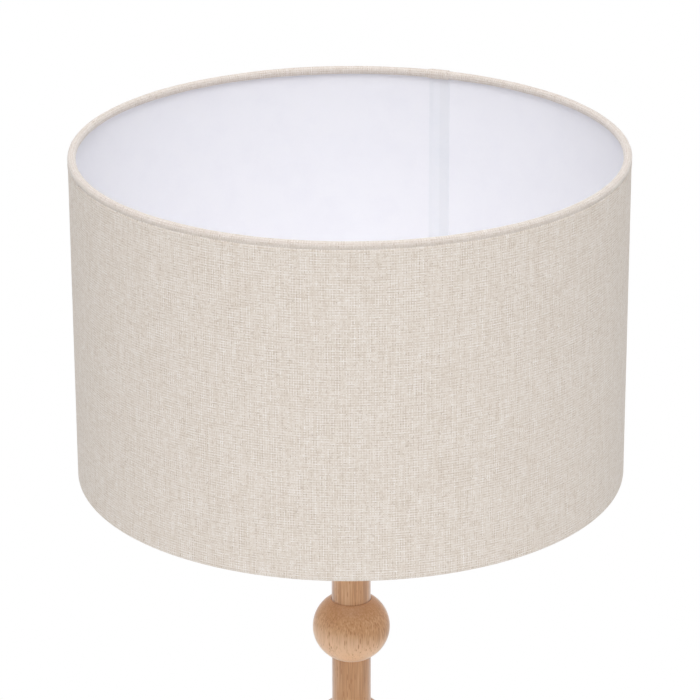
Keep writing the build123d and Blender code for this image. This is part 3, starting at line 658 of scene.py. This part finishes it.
def makeHem(name, level, side, centreRadius, sectionRadius, step):
    # The rolled edge: a round section whose radius is a little uneven round the drum and one thickness larger
    # over the overlap. The unevenness is the sum of three small sine waves round the drum.
    past, angle = roundFrom(shade["seamStart"], shade["aroundSteps"], (0, shade["seamArc"]))
    lapEnd = shade["seamArc"]
    lap = step * smoothStep(0.0, 0.12, past) * (1 - smoothStep(lapEnd - 0.7, lapEnd + 0.5, past))
    turn = np.linspace(0, 2 * np.pi, 36, endpoint=False)[None]
    wave = sum(high * np.sin(count * angle + phase * side) for high, count, phase in shade["hemWaves"])
    section = sectionRadius + (wave + lap - 0.03)[:, None] + 0.02 * np.sin(3 * turn + 41 * angle[:, None])
    radius = centreRadius + section * np.cos(turn)
    height = level + side * section * np.sin(turn)
    along = np.linspace(0, 2 * np.pi, 37) * sectionRadius
    around = np.radians(np.concatenate([past, [360]])) * coverRadius
    points = roundPoints(radius, height, angle)
    return newPiece(name, gridPart(points, around=around, along=along), sharpAngle=55)


shadeCover = fitPiece(makeCover(), shadeCloth, "shade", "shade_cloth", "shade_fabric")
fitPiece(makeLiner(), backingSheet, "shade", "shade_backing", "shade_liner")
fitPiece(makeLap(), lapSheet, "shade", "shade_backing", "shade_lap")
topHem = makeHem("topHem", rollLevels["top"], 1, rollCentreRadius, shade["rollRadius"], shade["hemStep"])
bottomHem = makeHem("bottomHem", rollLevels["bottom"], -1, underCentreRadius, shade["tuckedRadius"], 0)
fitPiece(topHem, hemCloth, "shade", "hem_tape", "top_hem")
fitPiece(bottomHem, hemCloth, "shade", "hem_tape", "bottom_hem")
print("shade made")

# ---- column and foot
column = {
    "ballRadius": 25.3,
    "ballHalfHeight": 23.75,
    "shoulder": 19.9,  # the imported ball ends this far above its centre
    "curveEnd": 20.3,  # and its curve here, so that it meets the neck with only a thin line
    "seat": 18.0,  # a neck stands this far above the centre
    "seatBore": 12.83,
    "easedDepth": 0.3,
    "neckRadius": 12.75,
    "bore": 5.3,
}


def ballOutline(centre, cutLevel=None):
    # half an ellipse from end to end, eased into a seat at each end, and back up the bore; a cut level ends
    # it flat instead of at the lower seat
    endAngle = math.asin(column["curveEnd"] / column["ballHalfHeight"])
    lowAngle = -endAngle
    if cutLevel is not None:
        lowAngle = math.asin((cutLevel - centre) / column["ballHalfHeight"])
    t = np.linspace(lowAngle, endAngle, 73)
    curve = np.stack([column["ballRadius"] * np.cos(t), centre + column["ballHalfHeight"] * np.sin(t)], 1)
    top, seat = centre + column["curveEnd"], centre + column["seat"]
    corners = [(*curve[-1], 0.06), (column["seatBore"], top - column["easedDepth"], 0.1)]
    corners += [(column["seatBore"], seat, 0), (column["bore"], seat, 0)]
    if cutLevel is None:
        low, lowSeat = centre - column["curveEnd"], centre - column["seat"]
        corners += [(column["bore"], lowSeat, 0), (column["seatBore"], lowSeat, 0)]
        corners += [(column["seatBore"], low + column["easedDepth"], 0.1), (*curve[0], 0.06)]
    else:
        corners += [(column["bore"], cutLevel, 0), (*curve[0], 0.3)]
    middle = [(*spot, 0) for spot in curve[1:-1]]
    return roundedOutline([corners[-1]] + middle + corners[:-1], longest=4)


balls = {
    # piece, grain seed, direction of the paler wood, and where from the centre it starts and is full
    "foot_ball": ("footBall", 4, (0.8, 0.5, -0.3), 2, 22),
    "ball_lower": ("ballLower", 3, (0.5, -0.8, 0.3), 6, 24),
    "ball_middle": ("ballMiddle", 2, (-0.8, -0.3, 0.5), 0, 20),
    # the upper ball's paler wood points down: painted light bounced up from the table
    "ball_upper": ("ballUpper", 1, (-0.25, -0.15, -0.95), -6, 11),
}
for node, (name, seed, way, paleStart, paleFull) in balls.items():
    low, high = nodeBox(node)
    centre = high[2] - column["shoulder"]
    outline = ballOutline(centre, low[2] if node == "foot_ball" else None)
    grain = clearMattWood(
        "turnedWood_" + node,
        shift=(0.013 * seed, 0.021 * seed, 0.4 * seed),
        sapwoodAndBounce=(way, (0, 0, centre), paleStart, paleFull),
    )
    turnedPiece(name, node, outline, 176, grain, "stand", "turned_wood")

for seed, node in enumerate(("neck_lowest", "neck_lower", "neck_middle", "neck_upper")):
    low, high = nodeBox(node)
    outline = sleeveOutline(column["bore"], column["neckRadius"], low[2], high[2], 0.2, 0.35, 3)
    # the necks carry a heavier coat, which turns paler where they curve away
    grain = clearMattWood(
        "turnedWood_" + node,
        shift=(0.09 + 0.017 * seed, 0.05 - 0.011 * seed, 2.1 + 0.3 * seed),
        sheen=(1.0, 0.42),
    )
    name = "neck" + node.split("_")[1].capitalize()
    turnedPiece(name, node, outline, 144, grain, "stand", "turned_wood")

foot = {
    "rimRadius": 80.0,
    "rimTop": 11.0,
    "shoulderRadius": 58.0,
    "shoulderHeight": 23.0,
    "landRadius": 19.0,
    "edgeEase": 1.5,
    "recessRadius": 59.0,
    "recessTop": 16.0,
    "cordHoleHeight": 10.5,
    "cordHoleRadius": 5.0,
    "cordHoleMiddle": 70,
    "cordHoleLength": 30,
}
footLow, footHigh = nodeBox("foot")
rimTurn = np.linspace(math.pi / 2, 0, 40)
rimCurve = np.stack(
    [
        foot["shoulderRadius"] + (foot["rimRadius"] - foot["shoulderRadius"]) * np.cos(rimTurn),
        foot["rimTop"] + (foot["shoulderHeight"] - foot["rimTop"]) * np.sin(rimTurn),
    ],
    1,
)
footOutline = roundedOutline(
    [(column["bore"], footHigh[2], 0.2), (foot["landRadius"], footHigh[2], 3.0)]
    + [(*spot, 0) for spot in rimCurve]
    + [
        (foot["rimRadius"], footLow[2] + foot["edgeEase"], 0.6),
        (foot["rimRadius"] - foot["edgeEase"], footLow[2], 0.6),
        (foot["recessRadius"], footLow[2], 0.4), (foot["recessRadius"], foot["recessTop"], 0.8),
        (column["bore"], foot["recessTop"], 0.2),
    ],
    longest=3,
)
footPiece = cutRound(
    newPiece("turnedFoot", turnedPart(footOutline, 256)),
    (0, foot["cordHoleMiddle"], foot["cordHoleHeight"]),
    (0, 1, 0),
    foot["cordHoleRadius"],
    foot["cordHoleLength"],
)
# the foot is turned from a plank, so its fibres lie flat, a little off the left to right line
footGrain = clearMattWood("turnedWood_foot", turn=(0, math.pi / 2, 0.35), shift=(0.031, 0.012, 0.2))
fitPiece(footPiece, footGrain, "stand", "turned_wood", "foot")

padLow, padHigh = nodeBox("foot_pad")
padOutline = solidOutline(padHigh[0], padLow[2], padHigh[2], 0.5, 0.5, 5.0)
turnedPiece("footPad", "foot_pad", padOutline, 160, pressedFelt, "stand", "base_felt", closed=False)

bush = {"bore": 3.3, "stem": 4.95, "flange": 6.8, "flangeThickness": 1.6}
bushLow, bushHigh = nodeBox("cord_bush")
flangeStart = bushHigh[1] - bush["flangeThickness"]
bushOutline = roundedOutline(
    [
        (bush["bore"], bushLow[1], 0.3), (bush["stem"], bushLow[1], 0.5),
        (bush["stem"], flangeStart, 0.1), (bush["flange"], flangeStart, 0.2),
        (bush["flange"], bushHigh[1], 0.9), (bush["bore"], bushHigh[1], 0.5),
    ],
    longest=3,
)
alongY = {"order": (0, 2, 1), "shift": (0, 0, foot["cordHoleHeight"])}
turnedPiece("cordBush", "cord_bush", bushOutline, 72, mouldedBush, "stand", "bush_plastic", **alongY)
print("column and foot made")

# ---- lampholder
holder = {
    "radius": 20.0,
    "wall": 2.4,
    "rodBore": 5.05,
    "bossRadius": 8.0,
    "bossHeight": 5.5,
    "bellHeight": 14.0,
    "barHeight": 410.0,
    "barBore": 3.15,
    "skirtBore": 16.6,
    "shoulderRadius": 23.0,
    "shoulderTop": 420.5,
    "crest": 19.6,
    "threadDepth": 0.7,
    "threadPitch": 2.4,
}
capLow, capHigh = nodeBox("column_cap")
capOutline = roundedOutline(
    [
        (column["bore"], capLow[2], 0.1), (capHigh[0], capLow[2], 0.2), (capHigh[0], capHigh[2], 1.2),
        (column["bore"], capHigh[2], 0.1),
    ],
    longest=2,
)
turnedPiece("columnCap", "column_cap", capOutline, 96, zincSteel, "stand", "plated_steel")


def makeNut(name, node, acrossFlats, bore):
    # Hexagon: the radius is half the width across flats over the cosine of the angle from the nearest flat,
    # and a 30 degree cone cuts the corners off above and below.
    low, high = nodeBox(node)
    outside = 99.0  # stands for the outer wall until the hexagon gives its radius
    outline = sleeveOutline(bore, outside, low[2], high[2], 0.3, 0, 0.35)
    outline = outline[(outline[:, 0] < bore + 1.2) | (outline[:, 0] > outside - 0.1)]
    points, angle = turnedPoints(outline, 180)
    fromFlat = (angle + math.pi / 6) % (math.pi / 3) - math.pi / 6
    flat = acrossFlats / 2 / np.cos(fromFlat)
    toEnd = np.minimum(outline[:, 1] - low[2], high[2] - outline[:, 1])[None]
    limit = acrossFlats / 2 * 0.97 + toEnd / math.tan(math.radians(30))
    radius = np.where(outline[:, 0] > outside - 1, np.minimum(flat, limit), outline[:, 0])
    return newPiece(name, gridPart(roundPoints(radius, outline[:, 1], angle[:, 0])), sharpAngle=25)


lockNut = makeNut("lockNut", "lock_nut", 14.0, holder["rodBore"])
fitPiece(lockNut, zincSteel, "stand", "plated_steel", "lock_nut")

bellLow, bellHigh = nodeBox("holder_cap")
inside = holder["radius"] - holder["wall"]
bossTop, bellTop = bellLow[2] + holder["bossHeight"], bellLow[2] + holder["bellHeight"]
bellOutline = roundedOutline(
    [
        (holder["rodBore"], bellLow[2], 0.2), (holder["bossRadius"], bellLow[2], 0.6),
        (holder["bossRadius"], bossTop, 1.2), (holder["radius"], bellTop, 3.0),
        (holder["radius"], bellHigh[2], 0.25), (inside, bellHigh[2], 0.2), (inside, bellTop + 1, 1.0),
        (holder["bossRadius"], bossTop + 2, 0.6), (holder["rodBore"], bossTop + 2, 0.2),
    ],
    longest=1.5,
)
turnedPiece("holderCap", "holder_cap", bellOutline, 128, mouldedWhite, "stand", "holder_plastic")

housingLow, housingHigh = nodeBox("holder_housing")
housingOutline = sleeveOutline(inside, holder["radius"], housingLow[2], housingHigh[2], 0.2, 0.25, 2)
housing = newPiece("holderHousing", turnedPart(housingOutline, 128))
housing = cutRound(housing, (0, 0, holder["barHeight"]), (1, 0, 0), holder["barBore"], 60)
fitPiece(housing, mouldedWhite, "stand", "holder_plastic", "holder_housing")


def threadedPart(outline, sizes, low, high):
    # A turned shape with a rounded screw thread sunk into its crest between two heights: the dip is half the
    # depth times one minus the cosine of the phase, which rises by one turn of the helix per pitch, and it
    # fades out at both ends.
    pitch, depth = sizes["threadPitch"], sizes["threadDepth"]
    angle = np.linspace(0, 2 * np.pi, 120, endpoint=False)[:, None]
    radius, height = outline[:, 0][None], outline[:, 1][None]
    phase = 2 * np.pi * height / pitch - angle
    fade = smoothStep(low, low + pitch * 0.6, height) * (1 - smoothStep(high - pitch * 0.6, high, height))
    dip = np.where(np.abs(radius - sizes["crest"]) < 0.01, depth / 2 * (1 - np.cos(phase)) * fade, 0)
    return gridPart(roundPoints(radius - dip, height, angle[:, 0]))


skirtLow, skirtHigh = nodeBox("holder_skirt")
skirtOutline = roundedOutline(
    [
        (holder["skirtBore"], skirtLow[2], 0.3), (holder["shoulderRadius"], skirtLow[2], 0.4),
        (holder["shoulderRadius"], holder["shoulderTop"], 0.4),
        (holder["crest"], holder["shoulderTop"], 0.1), (holder["crest"], skirtHigh[2] - 1, 0.3),
        (holder["crest"] - 1, skirtHigh[2], 0.3), (holder["skirtBore"], skirtHigh[2], 0.4),
    ],
    longest=0.22,
)
skirt = threadedPart(skirtOutline, holder, holder["shoulderTop"] + 0.6, skirtHigh[2] - 1.2)
fitPiece(newPiece("holderSkirt", skirt), mouldedWhite, "stand", "holder_plastic", "holder_skirt")

clamp = {
    "bore": 19.65,
    "flange": 27.0,
    "flangeHeight": 2.0,
    "collar": 23.0,
    "grips": 16,
    "gripRadius": 1.4,
    "gripCircle": 23.4,
}
clampLow, clampHigh = nodeBox("clamp_ring")
flangeTop = clampLow[2] + clamp["flangeHeight"]
clampOutline = roundedOutline(
    [
        (clamp["bore"], clampLow[2], 0.3), (clamp["flange"], clampLow[2], 0.5),
        (clamp["flange"], flangeTop, 0.6), (clamp["collar"], flangeTop, 0.3),
        (clamp["collar"], clampHigh[2], 0.5), (clamp["bore"], clampHigh[2], 0.4),
    ],
    longest=0.8,
)
# a grip is a round notch: across it, the wall's radius is the grip circle's less a half circle
clampRadius, clampHeight = clampOutline[:, 0], clampOutline[:, 1]
_, clampAngle = turnedPoints(clampOutline, 384)
sector = 2 * np.pi / clamp["grips"]
acrossGrip = clamp["gripCircle"] * ((clampAngle + sector / 2) % sector - sector / 2)
notch = clamp["gripCircle"] - np.sqrt(np.clip(clamp["gripRadius"] ** 2 - acrossGrip**2, 0, None))
onCollar = smoothStep(flangeTop + 0.2, flangeTop + 0.9, clampHeight)
notched = clampRadius * (1 - onCollar) + np.minimum(clampRadius, notch) * onCollar
clampRadius = np.where(clampRadius > clamp["bore"] + 1.0, notched, clampRadius)
clampRing = newPiece("clampRing", gridPart(roundPoints(clampRadius, clampHeight, clampAngle[:, 0])))
fitPiece(clampRing, mouldedWhite, "clamp_ring", "holder_plastic", "clamp_ring")

fitter = {
    "ringBore": 20.3,
    "armRadius": 1.75,
    "armStart": 28.0,
    "armEnd": 171.95,
    "armAngles": (90, 210, 330),
    "weld": 0.9,
    "weldLength": 2.2,
}
ringLow, ringHigh = nodeBox("fitter_ring")
ringOutline = sleeveOutline(fitter["ringBore"], ringHigh[0], ringLow[2], ringHigh[2], 0.3, 0.6, 2)
turnedPiece("fitterRing", "fitter_ring", ringOutline, 144, powderCoat, "shade", "white_coated_steel")

ringMiddle = (ringLow[2] + ringHigh[2]) / 2
# the arm's rings lie closer together at both ends
share = np.concatenate([np.linspace(0.001, 0.05, 12), np.linspace(0.08, 0.95, 24), [0.97, 0.985, 1, 1]])
share = np.concatenate([[0, 0], share])
arms = []
for angle in np.radians(fitter["armAngles"]):
    outward = np.array([math.cos(angle), math.sin(angle), 0.0])
    start = outward * fitter["armStart"] + (0, 0, ringMiddle)
    end = outward * fitter["armEnd"] + (0, 0, rollLevels["bottom"])
    path = start + share[:, None] * (end - start)
    alongArm = share * np.linalg.norm(end - start)
    # the rod swells where it is welded to the ring
    radii = fitter["armRadius"] + fitter["weld"] * np.exp(-((alongArm / fitter["weldLength"]) ** 2))
    radii[0] = radii[-1] = 0
    arms.append(tubePart(path, radii))
fitPiece(newPiece("fitterArms", *arms), powderCoat, "shade", "white_coated_steel", "fitter_arms")

switch = {"barRadius": 3.0, "tipRadius": 4.5, "tipLength": 4.0}
alongX = {"closed": False, "order": (2, 0, 1), "shift": (0, 0, holder["barHeight"])}
barLow, barHigh = nodeBox("switch_bar")
barOutline = solidOutline(switch["barRadius"], barLow[0], barHigh[0], 0.3, 0.3, 2)
turnedPiece("switchBar", "switch_bar", barOutline, 48, mouldedWhite, "switch_bar", "holder_plastic", **alongX)
tipsLow, tipsHigh = nodeBox("switch_tips")
tips = []
for side, end in ((1, tipsHigh[0]), (-1, -tipsLow[0])):
    outline = solidOutline(switch["tipRadius"], end - switch["tipLength"], end, 0.3, 1.5, 1)
    tips.append(turnedPart(outline * (1, side), 56, **alongX))
fitPiece(newPiece("switchTips", *tips), mouldedWhite, "switch_bar", "holder_plastic", "switch_tips")
print("lampholder made")

# ---- bulb
bulb = {
    "globeRadius": 30.0,
    "globeWall": 1.0,
    "globeCentre": 500.0,
    "bodyStart": 13.7,
    "flare": 1.3,
    "shellInside": 11.5,
    "crest": 13.1,
    "threadDepth": 0.8,
    "threadPitch": 3.63,
}
bodyLow, bodyHigh = nodeBox("bulb_body")
footAngle = math.asin((bodyHigh[2] - bulb["globeCentre"]) / bulb["globeRadius"])
outerTurn = np.linspace(footAngle, math.pi / 2, 60)
innerTurn = outerTurn[::-1]
outerWall = np.stack([np.cos(outerTurn), np.sin(outerTurn)], 1) * bulb["globeRadius"]
innerWall = np.stack([np.cos(innerTurn), np.sin(innerTurn)], 1) * (bulb["globeRadius"] - bulb["globeWall"])
globeOutline = np.concatenate([innerWall, outerWall]) + (0, bulb["globeCentre"])
globeOutline[[0, -1], 0] = 0
turnedPiece("bulbGlobe", "bulb_globe", globeOutline, 128, opalGlass, "bulb", "opal_glass", closed=False)

# the body flares from the screw cap to the globe: radius grows as a power of the height's share
rise = np.linspace(0, 1, 40)
flareRadius = bulb["bodyStart"] + (bodyHigh[0] - bulb["bodyStart"]) * rise ** bulb["flare"]
flare = np.stack([flareRadius, bodyLow[2] + (bodyHigh[2] - bodyLow[2]) * rise], 1)
bodyOutline = roundedOutline(
    [(*flare[0], 0.4)]
    + [(*spot, 0) for spot in flare[1:-1]]
    + [
        (*flare[-1], 0.35), (bodyHigh[0] - 1.8, bodyHigh[2], 0.2),
        (bulb["bodyStart"] + 2, bodyLow[2] + 14, 1), (bulb["bodyStart"] - 2, bodyLow[2] + 2, 1),
    ],
    longest=3,
)
# its foot goes into the screw cap
bodyFoot = [[bulb["shellInside"] - 0.5, bodyLow[2] + 2], [bulb["shellInside"] - 0.5, bodyLow[2]]]
bodyOutline = np.concatenate([bodyOutline, bodyFoot])
turnedPiece("bulbBody", "bulb_body", bodyOutline, 128, bulbPlastic, "bulb", "bulb_white")

shellLow, shellHigh = nodeBox("bulb_shell")
shellOutline = roundedOutline(
    [
        (bulb["shellInside"], shellLow[2], 0.1), (bulb["crest"] - 0.6, shellLow[2], 0.4),
        (bulb["crest"], shellLow[2] + 1.2, 0.4), (bulb["crest"], shellHigh[2], 0.1),
        (bulb["shellInside"], shellHigh[2], 0.1),
    ],
    longest=0.25,
)
shell = threadedPart(shellOutline, bulb, shellLow[2] + 0.4, shellHigh[2] - 1.2)
fitPiece(newPiece("bulbShell", shell), rolledAluminium, "bulb", "bulb_metal", "bulb_shell")
print("bulb made")

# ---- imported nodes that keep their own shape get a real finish
keptFinishes = {
    "ballast_ring": castIron,
    "ballast_screws": zincSteel,
    "foot_washer": zincSteel,
    "foot_nut": zincSteel,
    "threaded_rod": zincSteel,
    "holder_core": glazedCore,
    "terminal_screws": stampedBrass,
    "screw_shell": stampedBrass,
    "centre_contact": stampedBrass,
    "bottom_wire": powderCoat,
    "top_wire": powderCoat,
    "bulb_tip": rolledAluminium,
    "bulb_insulator": blackGlassBead,
    "bulb_board": bulbPlastic,
}
for node, material in keptFinishes.items():
    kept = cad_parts[node]
    if not kept.material_slots:
        kept.data.materials.append(material)
    for place in kept.material_slots:
        place.material = material
print("kept nodes finished:", len(keptFinishes))

# ---- floor, light and camera
stage = {
    "floorRings": (0, 80, 200, 500, 1500, 6000),  # millimetres
    "floorColour": "#F2F2F1",
    "floorDrift": "#F4F4F3",
    "fadeStart": 0.14,  # the floor goes from its own shading to plain white between these radii
    "fadeEnd": 0.40,
    "ambient": 0.32,
    # each soft box: watts, width, place and what it faces, in metres
    "softBoxes": {
        "frontAbove": (44.2, 1.8, (0.0, -2.1, 3.0), (0, 0, 0.45)),
        "overhead": (14.5, 2.4, (0.0, -0.1, 3.2), (0, 0, 0.45)),
        "ceiling": (40.0, 6.0, (0.0, 0.0, 3.2), (0, 0, 0.45)),
        "backAbove": (13.0, 1.8, (0.0, 1.3, 3.2), (0, 0, 0.45)),
        "sideLeft": (3.1, 1.6, (-2.0, -0.3, 1.15), (0, 0, 0.45)),
        "sideRight": (3.1, 1.6, (2.0, -0.3, 1.15), (0, 0, 0.45)),
        "tableBounce": (2.0, 1.4, (0.0, -1.0, 0.015), (0, -1.0, 1.0)),
    },
}

floorPoints, _ = turnedPoints(np.array([(radius, 0.0) for radius in stage["floorRings"]]), 96)
floor = newPiece("floor", gridPart(floorPoints, wrapAlong=False))
if floor.data.polygons[0].normal.z < 0:
    floor.data.flip_normals()
floorMaterial = bpy.data.materials.new("paleFloor")
floorMaterial.use_nodes = True
floorTree = floorMaterial.node_tree
floorTree.nodes.clear()
floorSpace = placedOn(floorTree, (0.02, 0.02, 0.02))
floorMottle = addNode(floorTree, "TexNoise", {"Vector": floorSpace, "Scale": 1.0, "Detail": 2.0})
floorTones = {0: floorMottle, 6: linear(stage["floorColour"]), 7: linear(stage["floorDrift"])}
floorTone = addNode(floorTree, "Mix", floorTones, out=2, data_type="RGBA")
matt = addNode(floorTree, "BsdfDiffuse", {"Color": floorTone})
white = addNode(floorTree, "Emission", {"Color": (1, 1, 1, 1), "Strength": 1.0})
floorPlace = addNode(floorTree, "TexCoord", out=3)
fromCentre = addNode(floorTree, "VectorMath", {0: floorPlace}, out=1, operation="LENGTH")
fadeRange = {0: fromCentre, 1: stage["fadeStart"], 2: stage["fadeEnd"]}
fade = addNode(floorTree, "MapRange", fadeRange, interpolation_type="SMOOTHSTEP")


def seenDirectly(tree):
    # 1 for rays that show a backdrop: from the camera, mirrored by gloss or passed through glass
    path = tree.nodes.new("ShaderNodeLightPath")
    total = path.outputs["Is Camera Ray"]
    for ray in ("Is Glossy Ray", "Is Transmission Ray"):
        total = addNode(tree, "Math", {0: total, 1: path.outputs[ray]}, operation="MAXIMUM")
    return total


showWhite = addNode(floorTree, "Math", {0: fade, 1: seenDirectly(floorTree)}, operation="MULTIPLY")
floorMix = addNode(floorTree, "MixShader", {0: showWhite, 1: matt, 2: white})
addNode(floorTree, "OutputMaterial", {"Surface": floorMix})
floor.data.materials.append(floorMaterial)

world = bpy.data.worlds.new("softStudio")
scene.world = world
world.use_nodes = True
worldTree = world.node_tree
worldTree.nodes.clear()
backdrop = addNode(worldTree, "MapRange", {0: seenDirectly(worldTree), 3: stage["ambient"], 4: 1.0})
sky = addNode(worldTree, "Background", {"Color": (1, 1, 1, 1), "Strength": backdrop})
addNode(worldTree, "OutputWorld", {"Surface": sky})


def softLight(name, watts, size, place, aim):
    # a square soft box at place that faces aim
    data = bpy.data.lights.new(name, "AREA")
    data.energy, data.size = watts, size
    lamp = bpy.data.objects.new(name, data)
    lamp.location = place
    ahead = unit(np.array(aim, float) - np.array(place, float))
    lamp.rotation_euler = (math.acos(-ahead[2]), 0, math.atan2(ahead[0], -ahead[1]) + math.pi)
    scene.collection.objects.link(lamp)
    lamp.visible_camera = False


for name, settings in stage["softBoxes"].items():
    softLight(name, *settings)

# the camera was found from the photograph's rim, wall and ball outlines, and is rolled by a fifth of a degree
view = {
    "place": (0.0, -2.1159, 1.2997),
    "downDegrees": 21.538,
    "leftDegrees": 0.0062,
    "rollDegrees": -0.2,
    "lensMm": 184.07,
    "sensorMm": 36.0,
}
cameraData = bpy.data.cameras.new("photoCamera")
cameraData.lens, cameraData.sensor_width = view["lensMm"], view["sensorMm"]
camera = bpy.data.objects.new("photoCamera", cameraData)
camera.location = view["place"]
aimed = Matrix.Rotation(math.radians(view["leftDegrees"]), 3, "Z")
for degrees, axis in ((90 - view["downDegrees"], "X"), (view["rollDegrees"], "Z")):
    aimed = aimed @ Matrix.Rotation(math.radians(degrees), 3, axis)
camera.rotation_euler = aimed.to_euler()
scene.collection.objects.link(camera)
scene.camera = camera
scene.view_settings.view_transform = "Standard"
print("stage made")
